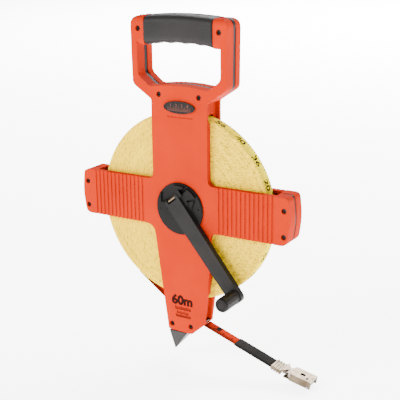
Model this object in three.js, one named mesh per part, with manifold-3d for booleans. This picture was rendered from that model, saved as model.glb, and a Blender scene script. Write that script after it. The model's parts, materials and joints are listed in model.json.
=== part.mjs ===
// Open-reel fibreglass measuring tape: a long blade wound on a drum that turns between two moulded
// cross frames, with a carrying handle, a fold-over winding crank and a hook on the blade's free end.
// Millimetres, +Z up, the crank on the -Y side. The origin is the middle of the handle grip.
import * as THREE from 'three';
import { mergeVertices } from 'three/addons/utils/BufferGeometryUtils.js';
import Module from 'manifold-3d';

// ---------------------------------------------------------------- driving dimensions
const FIT = 0.3; // clearance left between pieces that touch

// All shapes are drawn about the reel's axis; the whole object is lowered by this at the end.
const GRIP_HEIGHT = 175; // grip centre above the reel axis

const BLADE_WIDTH = 13;
const BLADE_THICKNESS = 0.6;
const COIL_RADIUS = 96;
const DRUM_RADIUS = 38;

const FRONT_FACE = -13; // outer face of the front frame
const REAR_FACE = 14; // outer face of the rear frame
const PARTING = 1; // plane where the two frames meet
const PLATE = 3; // moulded wall thickness
const REEL_BAY = 7; // half depth of the bay that the reel turns in
const BAY_RADIUS = 98.7; // clearance round the wound blade in the neck and the nose
const ARM_BAY_RADIUS = 107; // and in the arms

const HANDLE_HALF_WIDTH = 53.6;
const HANDLE_TOP = 187.5;
const SHOULDER_Z = 121.5;
const NECK_Z = 107.5;
const BAR_HALF_WIDTH = 31.5;
const ARM_TOP = 26.6;
const ARM_BOTTOM = -20.7;
const ARM_REACH = 120.3;
const NOSE_Z = -133.2;
const NOSE_SIDE = [[30, -87], [25.2, -123]]; // the nose's edge on the side where the blade leaves
const RECESS_DEPTH = 4; // recessed sides of the front half, at the neck and the mouth

const GRIP_HALF_LENGTH = 38.5;
const GRIP_BOTTOM = 159;
const GRIP_TOP = 189.5;
const GRIP_FRONT = -14.3;
const GRIP_BACK = 15.3;
const HANDLE_EASING = 6.5; // rounding along the handle's top bar
const GRIP_CORE = { front: -9, back: 10, bottom: 166, top: 183.5 }; // bar inside the grip
const SPACER_FRONT = 0; // dark strip between the halves of the handle
const SPACER_REAR = 5;
const ARM_STRIP_FRONT = -0.4; // dark strip round each arm's end
const ARM_STRIP_REAR = 2.4;
const ARM_STRIP_START = 107;
const ARM_STRIP_DEPTH = 1.5;
const STRIP_SETBACK = 0.4; // how far the dark strips lie behind the orange surface

const RIB_PITCH = 4.8;
const RIB_COUNT = 13;
const RIB_DEPTH = 0.9;
const RIB_START = 44.5;

const DISC_RADIUS = 26.6;
const DISC_FACE = -15.5;
const CRANK_TILT = THREE.MathUtils.degToRad(51.5); // how far the crank arm points below level
const CRANK_RADIUS = 102; // reel axis to knob axis
const CRANK_OFFSET = 1.4; // the arm's centre line passes this far above the reel axis
const ARM_FRONT = -20.5;
const ARM_BACK = -14.3;
const FOLD_PIN_X = -12;
const FOLD_PIN_Y = (ARM_FRONT + ARM_BACK) / 2;
const KNOB_END = -46.5;
const KNOB_RADIUS = 7.2;

const MOUTH = { x: 22, z: -124.2 }; // where the blade leaves the nose
const EXIT_TILT = THREE.MathUtils.degToRad(19.2);
const SLEEVE_START = 37.5; // distances along the free end, from the mouth
const SLEEVE_END = 81;
const CRIMP_END = 93.5;
const HOOK_START = 91;
const HOOK_END = 126;
const HOOK_TILT = THREE.MathUtils.degToRad(7); // the hook is bent up from the blade's line

const SCREW_PLACES = {
  screw_handle_left: [-44.9, 175.2],
  screw_handle_right: [44.9, 175.2],
  screw_neck_left: [-22.6, 112.9],
  screw_neck_right: [22.6, 112.9],
  screw_arm_left_upper: [-113.7, 13.8],
  screw_arm_left_lower: [-113.7, -11.8],
  screw_arm_right_upper: [113.7, 13.8],
  screw_arm_right_lower: [113.7, -11.8],
  screw_nose_left: [-12.4, -126.1],
  screw_nose_right: [10, -125.7],
};
const SCREW_HEAD_RADIUS = 2.5;
const SCREW_SHANK_RADIUS = 1.5;
const SCREW_HEAD_FRONT = -11.2;
const SCREW_HEAD_BACK = -8.8;
const SCREW_TIP = 9.5;
const BOSS_RADIUS = 4.6;

const SPIKE_TONGUE = { left: -7.5, right: 5, front: -6, back: 7 }; // the spike's root, inside the nose
const SPIKE_BARB = 3.6; // how far the root's barb reaches over the slot's edges
const SPIKE_GAP = 0.4;

const GUIDE_ROLLERS = { lower: [-8, -115], upper: [12, -115.8] };
const ROLLER_RADIUS = 3;
const ROLLER_PIN_RADIUS = 1.4;
const MOUTH_PIN = { x: 23.4, z: -119.2, radius: 1.2 };

// ---------------------------------------------------------------- materials
const plastic = (color, roughness) => new THREE.MeshStandardMaterial({ color, roughness, metalness: 0 });
const metal = (color, roughness) => new THREE.MeshStandardMaterial({ color, roughness, metalness: 1 });
const orange = plastic(0xee6a42, 0.45);
const blackPlastic = plastic(0x3a3836, 0.45);
const rubber = plastic(0x3e3c3a, 0.7);
const bladeYellow = plastic(0xf0dc80, 0.55);
const bladeRed = plastic(0xe2502f, 0.5);
const acetal = plastic(0xe8e6de, 0.4);
const nickel = metal(0xc9bda6, 0.35);
const steel = metal(0x9a9a98, 0.35);
const blackSteel = metal(0x2a2624, 0.45);

// ---------------------------------------------------------------- solids
const wasm = await Module();
wasm.setup();

// Booleans work on solids; a three.js geometry is turned into one when it first takes part.
function toSolid(piece) {
  if (!piece.isBufferGeometry) return piece;
  const bare = piece.clone();
  bare.deleteAttribute('normal');
  bare.deleteAttribute('uv');
  const merged = mergeVertices(bare, 1e-4);
  return new wasm.Manifold(new wasm.Mesh({
    numProp: 3,
    vertProperties: new Float32Array(merged.attributes.position.array),
    triVerts: new Uint32Array(merged.index.array),
  }));
}

function toGeometry(piece) {
  if (piece.isBufferGeometry) return piece;
  const mesh = piece.getMesh();
  const geometry = new THREE.BufferGeometry();
  geometry.setAttribute('position', new THREE.BufferAttribute(mesh.vertProperties, 3));
  geometry.setIndex(new THREE.BufferAttribute(mesh.triVerts, 1));
  geometry.computeVertexNormals();
  return geometry;
}

const unite = (...pieces) => pieces.map(toSolid).reduce((a, b) => a.add(b));
const cut = (body, ...tools) => tools.map(toSolid).reduce((a, b) => a.subtract(b), toSolid(body));
const common = (a, b) => toSolid(a).intersect(toSolid(b));

function box(x0, x1, y0, y1, z0, z1) {
  const geometry = new THREE.BoxGeometry(x1 - x0, y1 - y0, z1 - z0);
  return geometry.translate((x0 + x1) / 2, (y0 + y1) / 2, (z0 + z1) / 2);
}

// A round bar along Y.
function rod(x, z, radius, front, back, sides = 16) {
  const geometry = new THREE.CylinderGeometry(radius, radius, back - front, sides);
  return geometry.translate(x, (front + back) / 2, z);
}

// A ring or stepped disc about the Y axis, from [radius, y] points.
function turned(profile, sides = 36) {
  const points = profile.map(([radius, y]) => new THREE.Vector2(radius, y));
  return new THREE.LatheGeometry(points, sides);
}

const ring = (inner, outer, front, back, sides) =>
  turned([[inner, front], [outer, front], [outer, back], [inner, back], [inner, front]], sides);

// A flat outline drawn in X and Z, given thickness from the front Y to the back Y.
function slab(shape, front, back, curveSegments = 4) {
  const options = { depth: back - front, bevelEnabled: false, curveSegments };
  const geometry = new THREE.ExtrudeGeometry(shape, options);
  return geometry.rotateX(Math.PI / 2).translate(0, back, 0);
}

// A closed outline through corners [x, z, setback]; each corner is eased off by its setback.
function outline(corners) {
  const path = new THREE.Shape();
  const count = corners.length;
  corners.forEach(([x, z, setback], i) => {
    const here = new THREE.Vector2(x, z);
    const before = new THREE.Vector2(...corners[(i + count - 1) % count]);
    const after = new THREE.Vector2(...corners[(i + 1) % count]);
    const start = here.clone().add(before.sub(here).setLength(setback));
    const end = here.clone().add(after.sub(here).setLength(setback));
    if (i === 0) path.moveTo(start.x, start.y);
    else path.lineTo(start.x, start.y);
    path.quadraticCurveTo(x, z, end.x, end.y);
  });
  path.closePath();
  return path;
}

// The same corners moved inwards by a wall thickness; the corners run clockwise.
function inset(corners, wall) {
  const count = corners.length;
  return corners.map(([x, z, setback], i) => {
    const here = new THREE.Vector2(x, z);
    const into = here.clone().sub(new THREE.Vector2(...corners[(i + count - 1) % count])).normalize();
    const out = new THREE.Vector2(...corners[(i + 1) % count]).sub(here).normalize();
    const normalIn = new THREE.Vector2(into.y, -into.x);
    const normalOut = new THREE.Vector2(out.y, -out.x);
    const diagonal = normalIn.clone().add(normalOut).divideScalar(1 + normalIn.dot(normalOut));
    return [x + wall * diagonal.x, z + wall * diagonal.y, setback * 0.7];
  });
}

// A closed outline with an even thickness along a line of [x, z] points.
function ribbon(points, thickness) {
  const line = points.map(([x, z]) => new THREE.Vector2(x, z));
  const sideOf = (sign) => line.map((point, i) => {
    const along = line[Math.min(i + 1, line.length - 1)].clone().sub(line[Math.max(i - 1, 0)]).normalize();
    return point.clone().add(new THREE.Vector2(-along.y, along.x).multiplyScalar(sign * thickness / 2));
  });
  return new THREE.Shape([...sideOf(1), ...sideOf(-1).reverse()]);
}

// A rounded bar along X, with its section given by its Y and Z limits.
function handleBar(halfLength, front, back, bottom, top, easing) {
  const section = outline([
    [front, bottom, easing], [front, top, easing], [back, top, easing], [back, bottom, easing],
  ]);
  const options = { depth: 2 * halfLength, bevelEnabled: false, curveSegments: 4 };
  const geometry = new THREE.ExtrudeGeometry(section, options);
  geometry.rotateX(Math.PI / 2).rotateZ(Math.PI / 2);
  return geometry.translate(-halfLength, 0, 0);
}

// A three-sided prism: its front corners are [x, z, y], its back is flat.
function prism(corners, back) {
  const [a, b, c] = corners;
  const points = [...corners, ...corners.map(([x, z]) => [x, z, back])].map(([x, z, y]) => [x, y, z]);
  const geometry = new THREE.BufferGeometry();
  geometry.setAttribute('position', new THREE.Float32BufferAttribute(points.flat(), 3));
  const turn = (b[0] - a[0]) * (c[1] - a[1]) - (b[1] - a[1]) * (c[0] - a[0]);
  const faces = [[0, 1, 2], [5, 4, 3], [0, 3, 4], [0, 4, 1], [1, 4, 5], [1, 5, 2], [2, 5, 3], [2, 3, 0]];
  geometry.setIndex(faces.flatMap((face) => (turn > 0 ? face : [...face].reverse())));
  geometry.computeVertexNormals();
  return geometry;
}

// ---------------------------------------------------------------- scene graph
const reelTape = new THREE.Group();
const model = new THREE.Group();
model.position.z = -GRIP_HEIGHT;
reelTape.add(model);

function add(name, geometry, material, parent = model) {
  const mesh = new THREE.Mesh(toGeometry(geometry), material);
  mesh.name = name;
  parent.add(mesh);
}

// ---------------------------------------------------------------- frame outlines
const upperRight = [
  [HANDLE_HALF_WIDTH, HANDLE_TOP, 10],
  [HANDLE_HALF_WIDTH - 1, SHOULDER_Z, 4],
  [BAR_HALF_WIDTH, NECK_Z, 1.5],
  [BAR_HALF_WIDTH, ARM_TOP, 7],
  [ARM_REACH - 2.5, ARM_TOP, 5],
  [ARM_REACH, 3, 10],
  [ARM_REACH - 3.5, ARM_BOTTOM, 6],
];
const lowerEdge = [
  [BAR_HALF_WIDTH + 0.5, ARM_BOTTOM, 10],
  [BAR_HALF_WIDTH + 1.8, -61, 12],
  [25.8, -119.9, 2],
  [11.3, NOSE_Z - 0.5, 2],
  [-16.7, NOSE_Z + 0.5, 1],
  [-BAR_HALF_WIDTH, ARM_BOTTOM, 10],
];
const mirrored = upperRight.map(([x, z, setback]) => [-x, z, setback]).reverse();
const frameCorners = [...upperRight, ...lowerEdge, ...mirrored];
const frameShape = outline(frameCorners);

// Hand hole: straight sides, sloping lower corners and a gently arched floor.
const HOLE_HALF_WIDTH = 46.5;
const HOLE_TOP = 166;
const holeCorners = [
  [-HOLE_HALF_WIDTH, HOLE_TOP, 1],
  [HOLE_HALF_WIDTH, HOLE_TOP, 1],
  [HOLE_HALF_WIDTH, 130.5, 4],
  [33, 119.8, 3],
  [0, 124, 24],
  [-33, 119.8, 3],
  [-HOLE_HALF_WIDTH, 130.5, 4],
];

const rodAll = ([x, z], radius, front, back, sides) => rod(x, z, radius, front, back, sides);
const screwRods = (radius, front, back, sides) =>
  Object.values(SCREW_PLACES).map((place) => rodAll(place, radius, front, back, sides));
const guidePlaces = Object.values(GUIDE_ROLLERS);

// Blade route from the wound coil, through the nose and out of the mouth.
const LEAVE_ANGLE = THREE.MathUtils.degToRad(-125.6);
const leaveRadius = COIL_RADIUS + FIT + BLADE_THICKNESS / 2;
const bladeRoute = [
  [leaveRadius * Math.cos(LEAVE_ANGLE), leaveRadius * Math.sin(LEAVE_ANGLE)],
  [-26, -100.8],
  [-8, -111.2],
  [12, -119.6],
  [MOUTH.x - FIT, MOUTH.z + 0.1],
];
const slotRoute = [[-42, -90], ...bladeRoute.slice(1), [MOUTH.x + 10, MOUTH.z - 3.6]];
const bladeSlot = () => slab(ribbon(slotRoute, 6), -REEL_BAY - 0.2, REEL_BAY + 0.2);

// ---------------------------------------------------------------- frames
function ribGrooves(front, back) {
  const grooves = [];
  for (const side of [-1, 1]) {
    for (let i = 0; i < RIB_COUNT; i += 1) {
      const x = side * (RIB_START + i * RIB_PITCH);
      grooves.push(box(x - RIB_PITCH / 4, x + RIB_PITCH / 4, front, back, ARM_BOTTOM - 2, ARM_TOP + 2));
    }
  }
  return grooves;
}

// A band just inside the frame's outline at both arm ends.
const armStrips = (front, back, width, start) => common(
  cut(slab(frameShape, front, back), slab(outline(inset(frameCorners, width)), front - 1, back + 1)),
  unite(box(start, 130, front, back, -40, 40), box(-130, -start, front, back, -40, 40)),
);

// One moulded half: walls round the edge, open to the other half, with the reel bay cleared.
function frameHalf({ face, inner, seam, handleSeam, gripCore }) {
  const [front, back] = face < seam ? [face, seam] : [seam, face];
  const [pocketFront, pocketBack] = face < seam ? [inner, seam + 1] : [seam - 1, inner];
  const [handFront, handBack] = face < seam ? [face, handleSeam] : [handleSeam, face];
  const cross = common(slab(frameShape, front, back), box(-130, 130, front, back, -140, 118));
  const pocket = common(slab(outline(inset(frameCorners, PLATE)), pocketFront, pocketBack),
    box(-130, 130, -20, 20, -140, 116.5));
  const shell = cut(cross, pocket);
  const half = box(-60, 60, handFront, handBack, 117, 200);
  const loop = common(handleBar(60, FRONT_FACE, REAR_FACE, 90, HANDLE_TOP, HANDLE_EASING), half);
  const uprights = cut(
    common(slab(frameShape, handFront, handBack), loop),
    slab(outline(holeCorners), -20, 20),
    box(-HOLE_HALF_WIDTH, HOLE_HALF_WIDTH, -20, 20, 150, 200),
  );
  const pods = cut(
    common(handleBar(HOLE_HALF_WIDTH, FRONT_FACE, REAR_FACE, GRIP_BOTTOM, HANDLE_TOP, HANDLE_EASING), half),
    box(-GRIP_HALF_LENGTH, GRIP_HALF_LENGTH, -20, 20, 150, 200),
  );
  const coreHalf = GRIP_HALF_LENGTH + 1;
  const core = box(-coreHalf, coreHalf, ...gripCore, GRIP_CORE.bottom, GRIP_CORE.top);
  return unite(shell, uprights, pods, core);
}

const frontHalf = frameHalf({
  face: FRONT_FACE, inner: FRONT_FACE + PLATE, seam: PARTING - FIT / 2,
  handleSeam: SPACER_FRONT - FIT, gripCore: [GRIP_CORE.front, SPACER_FRONT - FIT],
});
const rearHalf = frameHalf({
  face: REAR_FACE, inner: REAR_FACE - PLATE, seam: PARTING + FIT / 2,
  handleSeam: SPACER_REAR + FIT, gripCore: [SPACER_REAR + FIT, GRIP_CORE.back],
});

const stripChannels = () =>
  armStrips(ARM_STRIP_FRONT - FIT, ARM_STRIP_REAR + FIT, ARM_STRIP_DEPTH + FIT, ARM_STRIP_START - FIT);

const BUSH_OUTER = 23.7;
const JOURNAL_RADIUS = 21;
const bay = () => unite(
  rod(0, 0, BAY_RADIUS, -REEL_BAY, REEL_BAY, 60),
  common(rod(0, 0, ARM_BAY_RADIUS, -REEL_BAY, REEL_BAY, 60), box(-120, 120, -10, 10, -60, 60)),
);
const spikeSlot = () => box(
  SPIKE_TONGUE.left - SPIKE_GAP, SPIKE_TONGUE.right + SPIKE_GAP,
  SPIKE_TONGUE.front - SPIKE_GAP, SPIKE_TONGUE.back + SPIKE_GAP, -137, -128.5,
);

// The sides are recessed at the neck, and the front half's side at the mouth, to a set-back wall.
const RECESS_FRONT = FRONT_FACE + PLATE;
const band = ([top, bottom], near, far) => outline([
  [top[0] + near, top[1], 0.1], [top[0] + far, top[1], 0.1],
  [bottom[0] + far, bottom[1], 0.1], [bottom[0] + near, bottom[1], 0.1],
]);
const neckSide = [[BAR_HALF_WIDTH, NECK_Z], [BAR_HALF_WIDTH, 88]];
const bothNecks = (near, far, front, back) => {
  const right = slab(band(neckSide, near, far), front, back);
  return unite(right, right.clone().rotateZ(Math.PI).translate(0, front + back, 0));
};
const neckRecesses = (front, back) => bothNecks(-RECESS_DEPTH, 3, front, back);
const neckWalls = (front, back) => bothNecks(-RECESS_DEPTH - 2, -RECESS_DEPTH, front, back);
const noseRecess = (front, back) => slab(band(NOSE_SIDE, -RECESS_DEPTH, 8), front, back);
const noseWall = (front, back) => slab(band(NOSE_SIDE, -RECESS_DEPTH - 2, -RECESS_DEPTH), front, back);

// Screw bosses stop short of the channels for the dark strips.
const bossArea = slab(outline(inset(frameCorners, ARM_STRIP_DEPTH + 2 * FIT)), FRONT_FACE, REAR_FACE);
const screwBosses = (front, back) =>
  screwRods(BOSS_RADIUS, front, back).map((boss) => common(boss, bossArea));
const frontBosses = screwBosses(FRONT_FACE + 0.5, PARTING - FIT / 2);
const frontHandleBosses = screwRods(BOSS_RADIUS + 1, SPACER_FRONT - FIT, 4).slice(0, 2);
const frontGuides = guidePlaces.map((place) => rodAll(place, 3, FRONT_FACE + 0.5, -REEL_BAY - 0.3));
const frontSeam = PARTING - FIT / 2;
const recessedHalf = unite(
  cut(frontHalf, neckRecesses(RECESS_FRONT, frontSeam + 1), noseRecess(RECESS_FRONT, frontSeam + 1)),
  neckWalls(RECESS_FRONT - 0.5, frontSeam),
  noseWall(RECESS_FRONT - 0.5, frontSeam),
);
const mouthLug = common(slab(frameShape, FRONT_FACE, -8), rod(MOUTH_PIN.x, MOUTH_PIN.z, 3, FRONT_FACE, -8));
const frontFrame = cut(
  unite(cut(recessedHalf, bay()), ...frontBosses, ...frontGuides, mouthLug,
    ring(BUSH_OUTER + FIT, BUSH_OUTER + 4, FRONT_FACE, -REEL_BAY - 0.3)),
  ...frontHandleBosses,
  rod(0, 0, BUSH_OUTER + FIT, -20, 0, 36),
  bladeSlot(),
  spikeSlot(),
  stripChannels(),
  ...ribGrooves(FRONT_FACE - 1, FRONT_FACE + RIB_DEPTH),
  ...screwRods(SCREW_SHANK_RADIUS + FIT, -14, 5, 12),
  ...screwRods(SCREW_HEAD_RADIUS + FIT, -14, SCREW_HEAD_BACK + FIT),
  ...guidePlaces.map((place) => rodAll(place, ROLLER_PIN_RADIUS + FIT + 0.1, -11.5, 2, 12)),
  rod(MOUTH_PIN.x, MOUTH_PIN.z, MOUTH_PIN.radius + FIT, -11.5, 2, 12),
);
add('front_frame', frontFrame, orange);

const AXLE_RADIUS = 4;
const BUSH_RADIUS = 6.7;
const rearBosses = screwBosses(PARTING + FIT / 2, REAR_FACE - 0.5);
const handleBosses = screwRods(BOSS_RADIUS + 1, -1, SPACER_REAR + FIT).slice(0, 2);
const rearGuides = guidePlaces.map((place) => rodAll(place, 3, REEL_BAY + 0.3, REAR_FACE - 0.5));
const rearSeam = PARTING + FIT / 2;

// Behind the mouth the rear half is solid, and its back corner is rounded right off.
const mouthBlock = common(
  slab(frameShape, rearSeam, REAR_FACE),
  box(17, 32, rearSeam, REAR_FACE, -126, -87),
);
function mouthRounding() {
  const shape = new THREE.Shape();
  shape.moveTo(0.5, 3.5);
  shape.quadraticCurveTo(-1.5, 11.5, -11, REAR_FACE + 0.5);
  shape.lineTo(12, REAR_FACE + 0.5);
  shape.lineTo(12, 3.5);
  const [top, bottom] = NOSE_SIDE;
  const length = Math.hypot(top[0] - bottom[0], top[1] - bottom[1]) + 24;
  const options = { depth: length, bevelEnabled: false, curveSegments: 6 };
  const geometry = new THREE.ExtrudeGeometry(shape, options);
  geometry.translate(0, 0, -length + 10);
  geometry.rotateY(Math.atan2(top[0] - bottom[0], top[1] - bottom[1]));
  return geometry.translate(top[0], 0, top[1]);
}
const RECESS_BACK = REAR_FACE - PLATE;
const rearWalled = unite(
  cut(unite(rearHalf, mouthBlock), neckRecesses(rearSeam - 1, RECESS_BACK)),
  neckWalls(rearSeam, RECESS_BACK + 0.5),
);
const rearFrame = cut(
  unite(cut(rearWalled, bay()), ...rearBosses, ...rearGuides,
    rod(0, 0, 16, REEL_BAY + 0.6, REAR_FACE - 0.5, 32)),
  common(mouthRounding(), box(0, 60, 0, 20, -128, -60)),
  ...handleBosses,
  rod(0, 0, BUSH_RADIUS + FIT, 0, 20, 32),
  rod(0, 0, 11, 10.5, 20, 32),
  bladeSlot(),
  spikeSlot(),
  stripChannels(),
  ...ribGrooves(REAR_FACE - RIB_DEPTH, REAR_FACE + 1),
  ...screwRods(SCREW_SHANK_RADIUS + FIT, -1, SCREW_TIP + 0.8, 12),
  ...guidePlaces.map((place) => rodAll(place, ROLLER_PIN_RADIUS + FIT + 0.1, 0, 12.5, 12)),
  rod(MOUTH_PIN.x, MOUTH_PIN.z, MOUTH_PIN.radius + FIT, 0, 6, 12),
);
add('rear_frame', rearFrame, orange);

// Dark strips that close the seams round the handle loop and round the arm ends.
const spacerLoop = outline(inset([
  ...upperRight.slice(0, 2), [36.5, NECK_Z + 2.5, 2], [-36.5, NECK_Z + 2.5, 2], ...mirrored.slice(-2),
], STRIP_SETBACK));
const spacer = cut(
  common(slab(spacerLoop, SPACER_FRONT, SPACER_REAR), box(-60, 60, -1, 6, 118.3, 200)),
  slab(outline(inset(holeCorners, -STRIP_SETBACK)), -1, 6),
  ...screwRods(SCREW_SHANK_RADIUS + FIT, -1, 6, 12).slice(0, 2),
  box(-GRIP_HALF_LENGTH - 1, GRIP_HALF_LENGTH + 1, -1, 6, GRIP_CORE.top, 195),
);
add('handle_spacer', spacer, blackPlastic);

const bothArmStrips = common(
  armStrips(ARM_STRIP_FRONT, ARM_STRIP_REAR, ARM_STRIP_DEPTH, ARM_STRIP_START),
  slab(outline(inset(frameCorners, STRIP_SETBACK)), -5, 5),
);
const halfSpace = { left: box(-130, 0, -5, 5, -40, 40), right: box(0, 130, -5, 5, -40, 40) };
for (const [side, space] of Object.entries(halfSpace)) {
  add(`arm_strip_${side}`, common(bothArmStrips, space), blackPlastic);
}

// ---------------------------------------------------------------- grip
const GRIP_SEAM = (SPACER_FRONT + SPACER_REAR) / 2;
const gripBar = handleBar(GRIP_HALF_LENGTH - FIT, GRIP_FRONT, GRIP_BACK, GRIP_BOTTOM, GRIP_TOP, 8);
const gripBore = box(
  -45, 45, GRIP_CORE.front - FIT, GRIP_CORE.back + FIT, GRIP_CORE.bottom - 1, GRIP_CORE.top + FIT,
);
const gripHollow = cut(gripBar, gripBore);
add('grip_front', cut(gripHollow, box(-50, 50, GRIP_SEAM - FIT / 2, 20, 150, 200)), rubber);
add('grip_rear', cut(gripHollow, box(-50, 50, -20, GRIP_SEAM + FIT / 2, 150, 200)), rubber);

// ---------------------------------------------------------------- fasteners
const screwProfile = [
  [0, SCREW_HEAD_FRONT + 1.2], [1.3, SCREW_HEAD_FRONT + 1.2], [1.3, SCREW_HEAD_FRONT],
  [SCREW_HEAD_RADIUS, SCREW_HEAD_FRONT], [SCREW_HEAD_RADIUS, SCREW_HEAD_BACK],
  [SCREW_SHANK_RADIUS, SCREW_HEAD_BACK], [SCREW_SHANK_RADIUS, SCREW_TIP], [0, SCREW_TIP],
];
for (const [name, [x, z]] of Object.entries(SCREW_PLACES)) {
  add(name, turned(screwProfile, 12).translate(x, 0, z), blackSteel);
}

// ---------------------------------------------------------------- nose: spike and blade guides
function pyramid(x0, x1, y0, y1, top, apex) {
  const corners = [[x0, y0, top], [x1, y0, top], [x1, y1, top], [x0, y1, top], apex];
  const geometry = new THREE.BufferGeometry();
  geometry.setAttribute('position', new THREE.Float32BufferAttribute(corners.flat(), 3));
  geometry.setIndex([0, 1, 2, 0, 2, 3, 1, 0, 4, 2, 1, 4, 3, 2, 4, 0, 3, 4]);
  geometry.computeVertexNormals();
  return geometry;
}
const spike = unite(
  pyramid(-16.3, 5, FRONT_FACE + 0.4, REAR_FACE - 0.4, NOSE_Z - 0.9, [-17.2, -0.6, -161]),
  box(SPIKE_TONGUE.left, SPIKE_TONGUE.right, SPIKE_TONGUE.front, SPIKE_TONGUE.back, NOSE_Z - 2, -122.5),
  box(
    SPIKE_TONGUE.left, SPIKE_TONGUE.right,
    SPIKE_TONGUE.front - SPIKE_BARB, SPIKE_TONGUE.back + SPIKE_BARB, -128, -124.5,
  ),
);
add('ground_spike', spike, blackPlastic);

for (const [name, [x, z]] of Object.entries(GUIDE_ROLLERS)) {
  const roller = ring(ROLLER_PIN_RADIUS + FIT, ROLLER_RADIUS, -BLADE_WIDTH / 2, BLADE_WIDTH / 2, 20);
  add(`guide_roller_${name}`, roller.translate(x, 0, z), acetal);
  add(`guide_roller_pin_${name}`, rod(x, z, ROLLER_PIN_RADIUS, -11.2, 12.2, 12), steel);
}
add('mouth_pin', rod(MOUTH_PIN.x, MOUTH_PIN.z, MOUTH_PIN.radius, -11.2, 5.7, 16), nickel);

// ---------------------------------------------------------------- reel
const anchorPocket = box(-6, 6, -5.5, 5.5, DRUM_RADIUS - 3.4, DRUM_RADIUS + 2);
const drumProfile = [
  [AXLE_RADIUS + FIT, -8.4], [20, -8.4], [20, -3], [33.5, -3], [33.5, -6.3], [DRUM_RADIUS, -6.3],
  [DRUM_RADIUS, 6.3], [33.5, 6.3], [33.5, 0], [14, 0], [14, 7.2], [AXLE_RADIUS + FIT, 7.2],
  [AXLE_RADIUS + FIT, -8.4],
];
add('reel_hub', cut(turned(drumProfile), anchorPocket), acetal);
add('tape_anchor', box(-5.6, 5.6, -5.1, 5.1, DRUM_RADIUS - 3.1, DRUM_RADIUS - 0.4), steel);
add('wound_tape', ring(DRUM_RADIUS + FIT, COIL_RADIUS, -BLADE_WIDTH / 2, BLADE_WIDTH / 2, 80), bladeYellow);
add('front_bush', ring(JOURNAL_RADIUS + FIT, BUSH_OUTER, FRONT_FACE + 0.2, -8.4), acetal);
add('rear_bush', ring(AXLE_RADIUS + FIT, BUSH_RADIUS, 7.8, 10.2, 24), acetal);
add('reel_axle', rod(0, 0, AXLE_RADIUS, -12.6, 13.8, 24), steel);
add('axle_washer', ring(AXLE_RADIUS + FIT, 9, 10.8, 11.7, 24), steel);
add('axle_nut', cut(rod(0, 0, 7.5, 12, 13.8, 6), rod(0, 0, AXLE_RADIUS + FIT, 11, 15, 24)), steel);

// ---------------------------------------------------------------- crank
// Local X runs from the reel axis towards the knob.
const crank = new THREE.Group();
crank.rotation.y = CRANK_TILT;
model.add(crank);

const discProfile = [
  [0, DISC_FACE], [DISC_RADIUS - 1, DISC_FACE], [DISC_RADIUS, DISC_FACE + 1], [DISC_RADIUS, -13.3],
  [JOURNAL_RADIUS, -13.3], [JOURNAL_RADIUS, -8.7], [0, -8.7],
];
const ARM_WIDTH = 17.5;
const LUG_WIDTH = 4;
const lugStart = ARM_WIDTH / 2 + FIT;
const arm0 = CRANK_OFFSET;
const lug = (side) => {
  const z = arm0 + side * (lugStart + LUG_WIDTH / 2);
  return unite(
    box(FOLD_PIN_X - 3.6, FOLD_PIN_X + 14, DISC_FACE - 2.4, DISC_FACE + 1, z - 2, z + 2),
    box(FOLD_PIN_X - 3.6, FOLD_PIN_X + 3.6, ARM_FRONT + 0.6, DISC_FACE + 1, z - 2, z + 2),
  );
};

// Raised land beside the arm, cut off square, with a wedge that slopes down from it to the disc.
const LAND_FACE = DISC_FACE - 2.4;
const land = common(
  slab(outline([[-24, 9, 0.1], [-24, 26, 0.1], [1, 26, 0.1], [-3.2, 9, 0.1]]), LAND_FACE, DISC_FACE + 1),
  rod(0, 0, DISC_RADIUS - 2, LAND_FACE - 1, DISC_FACE + 1, 36),
);
const wedge = prism(
  [[-1.8, 9, LAND_FACE + 0.5], [2.4, 21, LAND_FACE + 0.5], [10.6, 9, DISC_FACE - 0.4]],
  DISC_FACE + 1,
);
const wellCorners = [[-23, -9, 1], [-17, 4, 1], [-12, 4, 1], [-12, -8, 1], [-14, -15, 1]];
const well = slab(outline(wellCorners), -30, DISC_FACE + 1.6);
const crossRod = (radius, z0, z1, sides) => {
  const geometry = new THREE.CylinderGeometry(radius, radius, z1 - z0, sides).rotateX(Math.PI / 2);
  return geometry.translate(FOLD_PIN_X, FOLD_PIN_Y, (z0 + z1) / 2);
};
const PIN_RADIUS = 2;
const disc = cut(
  unite(cut(turned(discProfile), well), lug(-1), lug(1), land, wedge),
  rod(12, 19, 0.8, -30, -14, 12),
  box(-40, 40, -30, ARM_BACK + FIT, arm0 - lugStart, arm0 + lugStart),
  crossRod(PIN_RADIUS + FIT, arm0 - 20, arm0 + 20, 16),
  rod(0, 0, AXLE_RADIUS + FIT, -12.9, 0, 24),
);
add('crank_disc', disc, blackPlastic, crank);
add('crank_fold_pin', crossRod(PIN_RADIUS, arm0 - 12.4, arm0 + 12.4, 16), nickel, crank);

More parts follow.
